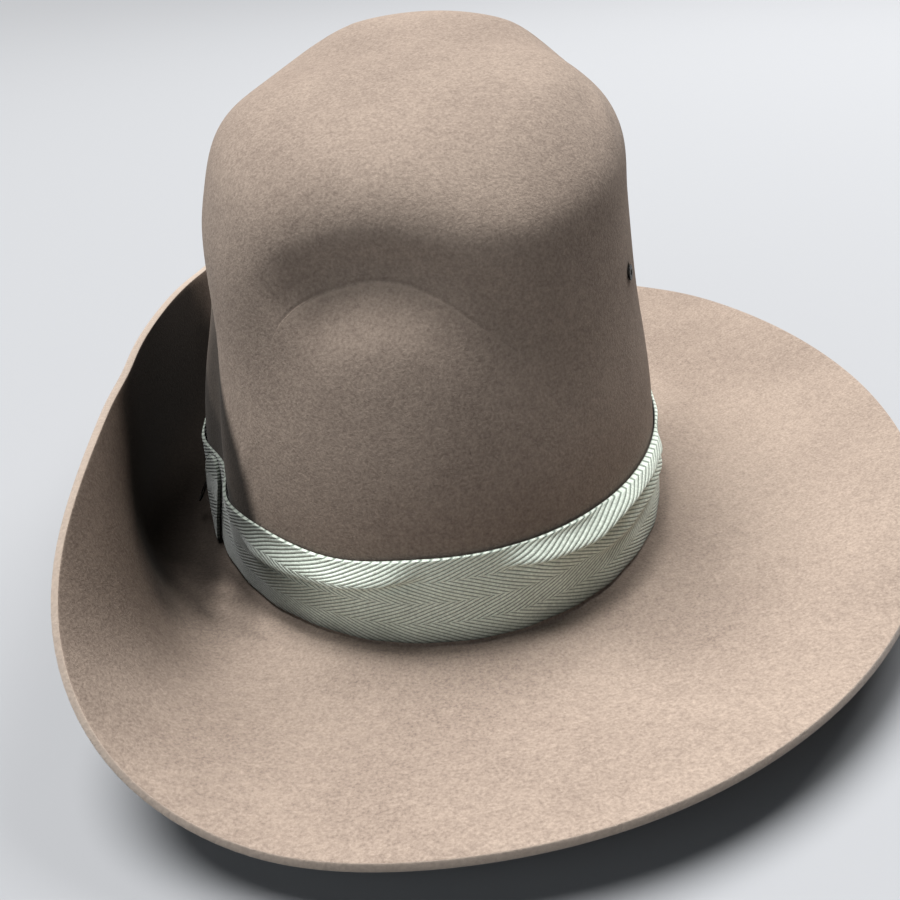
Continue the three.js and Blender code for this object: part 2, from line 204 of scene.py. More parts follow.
def mark_folds(piece: bpy.types.Object, reach: float = 45 * MM, count: int = 96,
               clear: float = 0.4 * MM) -> None:
    """Gives a piece the point attribute "fold": how far the felt closes each point in, which the
    materials paint as shade.

    Args:
        piece: The piece, before it is refined.
        reach: How near the felt must be to count.
        count: How many ways are tried over the whole sphere.
        clear: How far off the surface each try starts.
    """
    felt = merged_solid("felt_body")
    tree = BVHTree.FromBMesh(felt)
    felt.free()
    ways = even_ways(count)
    folds = np.zeros(len(piece.data.vertices))
    for index, (point, normal) in enumerate(zip(points_of(piece.data), normals_of(piece.data))):
        weights = ways @ normal
        start = Vector(point + normal * clear)
        for way, weight in zip(ways[weights > 0], weights[weights > 0]):
            if tree.ray_cast(start, Vector(way), reach)[0] is not None:
                folds[index] += weight
        folds[index] /= weights[weights > 0].sum()
    piece.data.attributes.new("fold", "FLOAT", "POINT").data.foreach_set("value", folds)


# Where the painted shade of the pocket lies: its turns, heights and reach.
POCKET_BACK = (165.0, 190.0)
POCKET_FRONT = (300.0, 275.0)
POCKET_TOP = (104 * MM, 72 * MM)
POCKET_FOOT = (3 * MM, 6 * MM)
POCKET_REACH = 1.1


def mark_pocket(mesh: bpy.types.Mesh, edge: Rows, soft: float) -> None:
    """Gives a mesh the attribute "pocket": its place in the pocket at the hat's left.

    The first number is how far a point lies behind the pocket's front edge, counted in the edge's
    softness and kept straight so that the edge is smooth. The second is how much it belongs there.
    The materials paint the pocket darker with it, in place of shade that soft lights don't give.

    Args:
        mesh: The mesh.
        edge: The front edge, as rows of height in metres and turn in degrees.
        soft: How many degrees the edge takes.
    """
    points = points_of(mesh)
    turns = FOOT.turns(points)
    level = (points[:, :2] - np.array(FOOT.centre)[:2]) / np.array(FOOT.half)[:2]
    on_crown = np.hypot(level[:, 0], level[:, 1]) < POCKET_REACH
    behind = np.clip((through(edge, points[:, 2]) - turns) / soft, -2.0, 4.0)
    inside = eased_between(turns, POCKET_BACK) * eased_between(turns, POCKET_FRONT)
    inside = inside * eased_between(points[:, 2], POCKET_TOP)
    inside = inside * on_crown * eased_between(points[:, 2], POCKET_FOOT)
    rows = np.stack([behind, inside, np.zeros(len(points))], axis=1)
    mesh.attributes.new("pocket", "FLOAT_VECTOR", "POINT").data.foreach_set("vector", rows.ravel())


def new_piece(name: str, solid: bmesh.types.BMesh) -> bpy.types.Object:
    """Makes a scene object from a mesh under work and frees that mesh.

    Args:
        name: The piece's name.
        solid: The mesh under work.

    Returns:
        The piece, at the origin.
    """
    mesh = bpy.data.meshes.new(name)
    solid.to_mesh(mesh)
    solid.free()
    piece = bpy.data.objects.new(name, mesh)
    bpy.context.scene.collection.objects.link(piece)
    return piece


def subdivide(piece: bpy.types.Object, levels: int) -> None:
    """Smooths a piece by subdivision, as a live modifier.

    Args:
        piece: The piece.
        levels: How many times its faces are split.
    """
    smooth = piece.modifiers.new("smooth", "SUBSURF")
    smooth.levels = levels
    smooth.render_levels = levels


def hand_over(piece: bpy.types.Object, node: str) -> None:
    """Lets a piece ride on the hat and stand for its CAD node.

    Args:
        piece: The finished piece.
        node: The CAD node it replaces.
    """
    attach(piece, "root")
    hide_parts(node)
    triangles = sum(len(face.vertices) - 2 for face in piece.data.polygons)
    LOG.info("%s stands for %s, %d triangles", piece.name, node, triangles)


@dataclass(frozen=True)
class CrownFoot:
    """The oval that the tape lies round, taken from the tape's own box.

    Turns go round it from +X towards +Y, in degrees.
    """

    low: Vector
    high: Vector

    @property
    def centre(self) -> Vector:
        """The oval's middle."""
        return (self.low + self.high) / 2

    @property
    def half(self) -> Vector:
        """The oval's half sizes across and along the hat."""
        return (self.high - self.low) / 2

    def turns(self, points: np.ndarray) -> np.ndarray:
        """Gives the turn in degrees of each point, from 0 to 360."""
        across = (points[:, 0] - self.centre.x) / self.half.x
        along = (points[:, 1] - self.centre.y) / self.half.y
        return np.degrees(np.arctan2(along, across)) % 360

    def shares(self, points: np.ndarray) -> np.ndarray:
        """Gives each point's height as a share of the tape's width."""
        return (points[:, 2] - self.low.z) / (self.high.z - self.low.z)

    def outward(self, turns: np.ndarray) -> np.ndarray:
        """Gives the level way straight out of the oval at each turn."""
        angles = np.radians(turns)
        across = np.cos(angles) / self.half.x
        along = np.sin(angles) / self.half.y
        ways = np.stack([across, along, np.zeros_like(across)], axis=1)
        return ways / np.linalg.norm(ways, axis=1, keepdims=True)

    def distances(self, turns: np.ndarray) -> np.ndarray:
        """Gives the distance round the oval from turn 0, in metres."""
        fine = np.linspace(0.0, 360.0, 1441)
        angles = np.radians(fine)
        across = np.cos(angles) * self.half.x
        along = np.sin(angles) * self.half.y
        steps = np.hypot(np.diff(across), np.diff(along))
        return np.interp(turns, fine, np.concatenate([[0.0], np.cumsum(steps)]))


FOOT = CrownFoot(*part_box("tape_band"))


@dataclass
class NodeWork:
    """Adds nodes to one node tree and joins them."""

    tree: bpy.types.NodeTree

    def add(self, kind: str, **settings: object) -> bpy.types.Node:
        """Adds a node.

        Args:
            kind: The node's type name without its ShaderNode prefix.
            settings: Properties of the node.

        Returns:
            The node.
        """
        node = self.tree.nodes.new("ShaderNode" + kind)
        for name, value in settings.items():
            setattr(node, name, value)
        return node

    def feed(self, socket: bpy.types.NodeSocket, value: object) -> None:
        """Sets a socket to a number or joins another socket to it."""
        if isinstance(value, bpy.types.NodeSocket):
            self.tree.links.new(value, socket)
        else:
            socket.default_value = value

    def maths(self, operation: str, *values: object, clamp: bool = False) -> bpy.types.NodeSocket:
        """Adds a Math node.

        Args:
            operation: Its operation.
            values: Its inputs, numbers or sockets.
            clamp: Whether the result is kept from 0 to 1.

        Returns:
            The result.
        """
        node = self.add("Math", operation=operation, use_clamp=clamp)
        for socket, value in zip(node.inputs, values):
            self.feed(socket, value)
        return node.outputs[0]

    def remap(self, value: object, start: object, end: object, low: float, high: float,
              smooth: bool = True) -> bpy.types.NodeSocket:
        """Maps a value from one span to another and holds it flat past the ends.

        Args:
            value: The value.
            start: The value that gives low.
            end: The value that gives high.
            low: The result at start.
            high: The result at end.
            smooth: Whether the step between them is eased.

        Returns:
            The mapped value.
        """
        node = self.add("MapRange", interpolation_type="SMOOTHSTEP" if smooth else "LINEAR")
        for socket, number in zip(node.inputs, (value, start, end, low, high)):
            self.feed(socket, number)
        return node.outputs[0]

    def noise(self, vector: object, scale: float, detail: float = 3.0,
              roughness: float = 0.5) -> bpy.types.NodeSocket:
        """Adds a noise and gives its value.

        Args:
            vector: Where it is read.
            scale: Its scale, in waves a metre.
            detail: How many finer layers it has.
            roughness: How strong they are.

        Returns:
            A value round 0.5.
        """
        node = self.add("TexNoise")
        self.feed(node.inputs["Vector"], vector)
        self.feed(node.inputs["Scale"], scale)
        self.feed(node.inputs["Detail"], detail)
        self.feed(node.inputs["Roughness"], roughness)
        return node.outputs["Fac"]

    def fold_shade(self, least: float, start: float = 0.28, end: float = 0.62,
                   inside: float = 1.0) -> bpy.types.NodeSocket:
        """Reads the fold and pocket attributes as a grey of painted shade that darkens a colour.

        Args:
            least: The grey of the painted shade deep in a fold and along the pocket's edge.
            start: The closeness where it starts to darken.
            end: The closeness where it is darkest.
            inside: How much of that darkness is left inside the pocket, behind its edge.

        Returns:
            The grey, as a colour.
        """
        fold = self.add("Attribute", attribute_name="fold").outputs["Fac"]
        value = self.remap(fold, start, end, 1.0, least)
        pocket = self.add("SeparateXYZ")
        self.feed(pocket.inputs[0], self.add("Attribute", attribute_name="pocket").outputs["Vector"])
        dark = self.maths("MULTIPLY", self.remap(pocket.outputs[0], 0.0, 1.0, 0.0, 1.0),
                          self.remap(pocket.outputs[0], 1.0, 2.5, 1.0, inside))
        dark = self.maths("MULTIPLY", dark, pocket.outputs[1])
        value = self.maths("MINIMUM", value, self.maths("MULTIPLY_ADD", dark, least - 1.0, 1.0))
        shade = self.add("CombineColor")
        for socket in shade.inputs:
            self.feed(socket, value)
        return shade.outputs[0]

    def blend(self, share: object, first: object, second: object,
              way: str = "MIX") -> bpy.types.NodeSocket:
        """Mixes two colours.

        Args:
            share: How much of the second colour.
            first: The first colour.
            second: The second colour.
            way: The blend type.

        Returns:
            The mixed colour.
        """
        node = self.add("Mix", data_type="RGBA", blend_type=way)
        self.feed(node.inputs[0], share)
        self.feed(node.inputs[6], first)
        self.feed(node.inputs[7], second)
        return node.outputs[2]

    def place(self, group: bpy.types.NodeTree, **values: object) -> bpy.types.Node:
        """Places a node group and feeds its inputs by name."""
        node = self.tree.nodes.new("ShaderNodeGroup")
        node.node_tree = group
        for name, value in values.items():
            self.feed(node.inputs[name.replace("_", " ")], value)
        return node


def open_group(name: str, inputs: dict[str, str], outputs: dict[str, str]) -> tuple[NodeWork, dict]:
    """Starts a node group with named sockets.

    Args:
        name: The group's name.
        inputs: Each input's name and socket type.
        outputs: Each output's name and socket type.

    Returns:
        The group's node work, and its input sockets and output sockets by name.
    """
    tree = bpy.data.node_groups.new(name, "ShaderNodeTree")
    for label, kind in inputs.items():
        tree.interface.new_socket(name=label, in_out="INPUT", socket_type="NodeSocket" + kind)
    for label, kind in outputs.items():
        tree.interface.new_socket(name=label, in_out="OUTPUT", socket_type="NodeSocket" + kind)
    entry = tree.nodes.new("NodeGroupInput")
    leave = tree.nodes.new("NodeGroupOutput")
    sockets = {label: entry.outputs[label] for label in inputs}
    sockets.update({label: leave.inputs[label] for label in outputs})
    return NodeWork(tree), sockets


def make_mottle_group() -> bpy.types.NodeTree:
    """Builds the shared mottle: fine specks and broad patches from the object's own coordinates.

    Returns:
        A group that gives Specks and Patches, values round 0.5.
    """
    work, at = open_group(
        "mottle",
        {"Vector": "Vector", "Speck Scale": "Float", "Patch Scale": "Float"},
        {"Specks": "Float", "Patches": "Float"},
    )
    work.feed(at["Specks"], work.noise(at["Vector"], at["Speck Scale"], 4.0, 0.62))
    work.feed(at["Patches"], work.noise(at["Vector"], at["Patch Scale"], 3.0, 0.55))
    return work.tree


def make_herringbone_group() -> bpy.types.NodeTree:
    """Builds the herringbone weave: twill lines that change their slant from stripe to stripe.

    Returns:
        A group that reads the tape's map in metres and gives Height and Yarn, both from 0 to 1.
    """
    work, at = open_group(
        "herringbone",
        {"Vector": "Vector", "Stripe": "Float", "Pitch": "Float", "Slant": "Float", "Float": "Float"},
        {"Height": "Float", "Yarn": "Float"},
    )
    split = work.add("SeparateXYZ")
    work.feed(split.inputs[0], at["Vector"])
    along, across = split.outputs[0], split.outputs[1]
    zigzag = work.maths("PINGPONG", across, at["Stripe"])
    stripe = work.maths("FLOOR", work.maths("DIVIDE", across, at["Stripe"]))
    odd = work.maths("PINGPONG", stripe, 1.0)
    slid = work.maths("MULTIPLY_ADD", along, at["Slant"], zigzag)
    phase = work.maths("DIVIDE", slid, at["Pitch"])
    phase = work.maths("MULTIPLY_ADD", odd, 0.5, phase)
    inside = work.maths("PINGPONG", phase, 0.5)
    line = work.maths("SINE", work.maths("MULTIPLY", inside, math.pi))
    beads = work.maths("DIVIDE", along, at["Float"])
    beads = work.maths("MULTIPLY_ADD", work.maths("FLOOR", phase), 0.37, beads)
    bead = work.maths("SINE", work.maths("MULTIPLY", work.maths("PINGPONG", beads, 0.5), math.pi))
    work.feed(at["Yarn"], bead)
    work.feed(at["Height"], work.maths("MULTIPLY", line, work.maths("MULTIPLY_ADD", bead, 0.22, 0.78)))
    return work.tree


MOTTLE = make_mottle_group()
HERRINGBONE = make_herringbone_group()


def new_material(name: str) -> tuple[bpy.types.Material, NodeWork, bpy.types.Node]:
    """Makes a node material with a Principled shader.

    Args:
        name: The material's name.

    Returns:
        The material, its node work and its shader.
    """
    material = bpy.data.materials.new(name)
    material.use_nodes = True
    return material, NodeWork(material.node_tree), material.node_tree.nodes["Principled BSDF"]


def set_values(shader: bpy.types.Node, values: dict[str, object]) -> None:
    """Sets the sockets of a shader that stay the same over the whole surface."""
    for name, value in values.items():
        shader.inputs[name].default_value = value


@dataclass(frozen=True)
class FeltFinish:
    """Fur felt: a matt nap with fine specks and broad soft patches."""

    name: str = "fur_felt"
    pale: Colour = (0.285, 0.228, 0.184)
    deep: Colour = (0.095, 0.07, 0.058)
    speck_scale: float = 1100.0
    patch_scale: float = 16.0
    speck_share: float = 0.36
    patch_share: float = 0.2
    tuft_share: float = 0.13
    hair_share: float = 0.42
    nap_height: float = 0.1 * MM
    sheen: float = 0.03
    # Grey of the painted shade in the felt's folds and in the pocket.
    painted_fold_shade: float = 0.1
    groove_depth: float = 0.22 * MM
    groove_width: float = 0.85 * MM

    def make(self, fold_line: Rows) -> bpy.types.Material:
        """Makes the felt's material.

        Args:
            fold_line: The pressed line in the crown's face, as rows of place across and height.

        Returns:
            The material.
        """
        material, work, shader = new_material(self.name)
        where = work.add("TexCoord").outputs["Object"]
        mottle = work.place(MOTTLE, Vector=where, Speck_Scale=self.speck_scale,
                            Patch_Scale=self.patch_scale)
        specks = work.remap(mottle.outputs["Specks"], *NOISE_SPAN, -0.2, 1.2, smooth=False)
        patches = work.remap(mottle.outputs["Patches"], *NOISE_SPAN, 0.0, 1.0)
        hairs = work.noise(where, self.speck_scale * 3, 2.0)
        tufts = work.noise(where, self.speck_scale / 3, 3.0)
        tufts = work.remap(tufts, *NOISE_SPAN, -0.1, 1.1, smooth=False)
        tone = work.maths("MULTIPLY", patches, self.patch_share)
        tone = work.maths("MULTIPLY_ADD", specks, self.speck_share, tone)
        tone = work.maths("MULTIPLY_ADD", tufts, self.tuft_share, tone)
        tone = work.maths("MULTIPLY_ADD", hairs, self.hair_share, tone)
        colour = work.blend(tone, (*self.deep, 1.0), (*self.pale, 1.0))
        above, below = self.pressed_step(work, where, fold_line)
        # Painted shade in the groove just above the fold line.
        colour = work.blend(work.maths("MULTIPLY", above, 0.25), colour, (*self.deep, 1.0))
        # Painted highlight on the lip just below the fold line.
        colour = work.blend(work.maths("MULTIPLY", below, 0.4), colour, (*self.pale, 1.0))
        # Paints shade into the felt's folds and the pocket.
        colour = work.blend(1.0, colour, work.fold_shade(self.painted_fold_shade, inside=0.9), way="MULTIPLY")
        work.feed(shader.inputs["Base Color"], colour)
        height = work.maths("MULTIPLY_ADD", specks, 0.6, work.maths("MULTIPLY", hairs, 0.4))
        height = work.maths("MULTIPLY", height, self.nap_height)
        height = work.maths("MULTIPLY_ADD", above, -self.groove_depth, height)
        bump = work.add("Bump")
        work.feed(bump.inputs["Distance"], 1.0)
        work.feed(bump.inputs["Height"], height)
        work.feed(shader.inputs["Normal"], bump.outputs[0])
        set_values(shader, {
            "Roughness": 0.95,
            "Specular IOR Level": 0.06,
            "Sheen Weight": self.sheen,
            "Sheen Roughness": 0.5,
            "Sheen Tint": (1.0, 0.96, 0.92, 1.0),
        })
        return material

    def pressed_step(self, work: NodeWork, where: bpy.types.NodeSocket,
                     fold_line: Rows) -> tuple[bpy.types.NodeSocket, bpy.types.NodeSocket]:
        """Draws the small step along the fold line on the crown's front, with painted shade in its
        groove and a painted highlight on the lip below.

        Args:
            work: The material's node work.
            where: The object's coordinates.
            fold_line: The line, as rows of place across and height in metres.

        Returns:
            Two masks: a thin stroke just above the line, for the groove and its painted shade, and one
                just below it, for a painted highlight.
        """
        split = work.add("SeparateXYZ")
        work.feed(split.inputs[0], where)
        low = Vector((min(x for x, _ in fold_line), min(z for _, z in fold_line)))
        high = Vector((max(x for x, _ in fold_line), max(z for _, z in fold_line)))
        across = work.remap(split.outputs[0], low.x, high.x, 0.0, 1.0, smooth=False)
        curve = work.add("FloatCurve")
        spots = [((x - low.x) / (high.x - low.x), (z - low.y) / (high.y - low.y)) for x, z in fold_line]
        points = curve.mapping.curves[0].points
        points[0].location = spots[0]
        points[1].location = spots[-1]
        for spot in spots[1:-1]:
            points.new(*spot)
        curve.mapping.update()
        work.feed(curve.inputs["Value"], across)
        line = work.maths("MULTIPLY_ADD", curve.outputs[0], high.y - low.y, low.y)
        over = work.maths("SUBTRACT", split.outputs[2], line)
        front = work.remap(split.outputs[1], -35 * MM, -45 * MM, 0.0, 1.0)
        fade_in = work.remap(across, 0.0, 0.12, 0.0, 1.0)
        fade_out = work.remap(across, 0.45, 1.0, 1.0, 0.0)
        shown = work.maths("MULTIPLY", front, work.maths("MULTIPLY", fade_in, fade_out))
        width = self.groove_width
        above = work.maths("MULTIPLY", work.remap(over, 0.0, width / 2, 0.0, 1.0),
                           work.remap(over, width / 2, width * 2, 1.0, 0.0))
        below = work.maths("MULTIPLY", work.remap(over, -width / 2, 0.0, 1.0, 0.0),
                           work.remap(over, -width * 2, -width / 2, 0.0, 1.0))
        return work.maths("MULTIPLY", above, shown), work.maths("MULTIPLY", below, shown)


@dataclass(frozen=True)
class CutEdgeFinish:
    """The felt's raw cut edge: paler, with fine specks."""

    name: str = "felt_cut_edge"
    pale: Colour = (0.33, 0.27, 0.22)
    deep: Colour = (0.18, 0.142, 0.115)
    speck_scale: float = 900.0

    def make(self) -> bpy.types.Material:
        """Makes the cut edge's material."""
        material, work, shader = new_material(self.name)
        where = work.add("TexCoord").outputs["Object"]
        mottle = work.place(MOTTLE, Vector=where, Speck_Scale=self.speck_scale, Patch_Scale=40.0)
        tone = work.maths("MULTIPLY_ADD", mottle.outputs["Specks"], 0.9,
                          work.maths("MULTIPLY", mottle.outputs["Patches"], 0.4))
        tone = work.maths("SUBTRACT", tone, 0.15, clamp=True)
        work.feed(shader.inputs["Base Color"],
                  work.blend(tone, (*self.deep, 1.0), (*self.pale, 1.0)))
        bump = work.add("Bump")
        work.feed(bump.inputs["Distance"], 0.25 * MM)
        work.feed(bump.inputs["Height"], mottle.outputs["Specks"])
        work.feed(shader.inputs["Normal"], bump.outputs[0])
        set_values(shader, {"Roughness": 0.95, "Specular IOR Level": 0.1, "Sheen Weight": 0.2})
        return material


@dataclass(frozen=True)
class TapeFinish:
    """Herringbone cotton tape in pale sage green."""

    name: str = "herringbone_tape"
    raised: Colour = (0.78, 0.85, 0.75)
    # sunk is darker as painted shade in the weave's low places; raised is the yarn's own colour.
    sunk: Colour = (0.23, 0.27, 0.225)
    worn: Colour = (0.70, 0.77, 0.67)
    stripe: float = 7.75 * MM
    pitch: float = 1.3 * MM
    slant: float = 0.43
    float_length: float = 0.7 * MM
    weave_height: float = 0.22 * MM
    # Grey of the painted shade in the tape's folds and at its end in the pocket.
    painted_fold_shade: float = 0.15

    def make(self) -> bpy.types.Material:
        """Makes the tape's material, which reads the tape's own map."""
        material, work, shader = new_material(self.name)
        laid = work.add("UVMap", uv_map="tape").outputs[0]
        where = work.add("TexCoord").outputs["Object"]
        weave = work.place(HERRINGBONE, Vector=laid, Stripe=self.stripe, Pitch=self.pitch,
                           Slant=self.slant, Float=self.float_length)
        mottle = work.place(MOTTLE, Vector=where, Speck_Scale=1100.0, Patch_Scale=45.0)
        raised = work.blend(work.remap(mottle.outputs["Patches"], *NOISE_SPAN, 0.0, 1.0),
                            (*self.raised, 1.0), (*self.worn, 1.0))
        # Paints shade into the low places of the weave.
        tone = work.remap(weave.outputs["Height"], 0.1, 0.75, 0.0, 1.0)
        colour = work.blend(tone, (*self.sunk, 1.0), raised)
        specks = work.remap(mottle.outputs["Specks"], *NOISE_SPAN, 0.78, 1.2, smooth=False)
        shade = work.add("CombineColor")
        for socket in shade.inputs:
            work.feed(socket, specks)
        colour = work.blend(1.0, colour, shade.outputs[0], way="MULTIPLY")
        # Paints shade into the tape's folds and its end in the pocket.
        colour = work.blend(1.0, colour, work.fold_shade(self.painted_fold_shade, 0.3, 0.8), way="MULTIPLY")
        work.feed(shader.inputs["Base Color"], colour)
        bump = work.add("Bump")
        work.feed(bump.inputs["Distance"], self.weave_height)
        height = work.maths("MULTIPLY_ADD", mottle.outputs["Specks"], 0.35, weave.outputs["Height"])
        work.feed(bump.inputs["Height"], height)
        work.feed(shader.inputs["Normal"], bump.outputs[0])
        set_values(shader, {
            "Roughness": 0.9,
            "Specular IOR Level": 0.2,
            "Sheen Weight": 0.2,
            "Sheen Roughness": 0.4,
        })
        return material


@dataclass(frozen=True)
class BlackMetalFinish:
    """Blackened brass with a dull, rubbed coat."""

    name: str = "black_metal"
    coat: Colour = (0.012, 0.011, 0.010)
    rubbed: Colour = (0.06, 0.05, 0.04)

    def make(self) -> bpy.types.Material:
        """Makes the blackened metal's material."""
        material, work, shader = new_material(self.name)
        where = work.add("TexCoord").outputs["Object"]
        mottle = work.place(MOTTLE, Vector=where, Speck_Scale=2200.0, Patch_Scale=500.0)
        worn = work.remap(mottle.outputs["Patches"], 0.5, 0.68, 0.0, 1.0)
        work.feed(shader.inputs["Base Color"],
                  work.blend(worn, (*self.coat, 1.0), (*self.rubbed, 1.0)))
        work.feed(shader.inputs["Roughness"],
                  work.remap(mottle.outputs["Specks"], *NOISE_SPAN, 0.35, 0.6))
        set_values(shader, {"Metallic": 0.7})
        return material


# The front edge of the painted shade in the pocket, darkest along the crown's left crease: rows of
# height and turn.
POCKET_SHADE_EDGE: Rows = (
    (36 * MM, 228.5),
    (49 * MM, 226.0),
    (56 * MM, 223.0),
    (66 * MM, 217.0),
    (75 * MM, 209.5),
    (92 * MM, 196.0),
)
POCKET_SHADE_SOFT = 5.0
TAPE_SHADE_EDGE: Rows = ((0.0, 256.0), (40 * MM, 248.0))


@dataclass(frozen=True)
class Mark:
    """A soft groove or ridge pressed into the felt along a line in millimetres.

    A positive lift raises the felt and a negative one sinks it.
    """

    line: tuple[tuple[float, float, float], ...]
    lift: float
    reach: float
    steps: int = 40
    extent: float = 60 * MM
    on_line: float = 3 * MM
    upward: float = -0.3

    def press(self, points: np.ndarray, normals: np.ndarray) -> None:
        """Moves the points near the line along their normals, in place.

        Args:
            points: The points, one row each.
            normals: Their normals.
        """
        rows = np.array(self.line) * MM
        spots = np.linspace(0, len(rows) - 1, self.steps)
        fine = np.stack([np.interp(spots, range(len(rows)), rows[:, k]) for k in range(3)], axis=1)
        middle = fine[self.steps // 2]
        near = np.flatnonzero(np.linalg.norm(points - middle, axis=1) < self.extent)
        gaps = np.linalg.norm(points[near][:, None, :] - fine[None, :, :], axis=2)
        ends = np.sin(np.linspace(0, math.pi, self.steps)) ** 0.7
        away = gaps.min(axis=1)
        lift = self.lift * ends[gaps.argmin(axis=1)] * (1 - eased(away / self.reach))
        outer = (normals[near][:, 2] > self.upward) | (away < self.on_line)
        points[near] += normals[near] * (lift * outer)[:, None]


MARKS = (
    Mark(
        line=(
            (-58, 10, 152),
            (-47.7, 25.0, 159.9),
            (-42.3, 32.4, 162.5),
            (-36.2, 38.2, 164.3),
            (-30, 42, 165.0),
        ),
        lift=-0.9 * MM,
        reach=5 * MM,
    ),
    Mark(
        line=(
            (29.0, -11.4, 146.5),
            (30.6, -19.4, 142.3),
            (30.4, -27.7, 138.8),
            (28.5, -37.0, 130.0),
        ),
        lift=0.9 * MM,
        reach=7 * MM,
    ),
    Mark(
        line=(
            (-92, -65.0, 46),
            (-90.4, -66.9, 54.4),
            (-86.5, -68.5, 61.5),
            (-83.4, -69.9, 66.6),
        ),
        lift=0.5 * MM,
        reach=4 * MM,
    ),
)


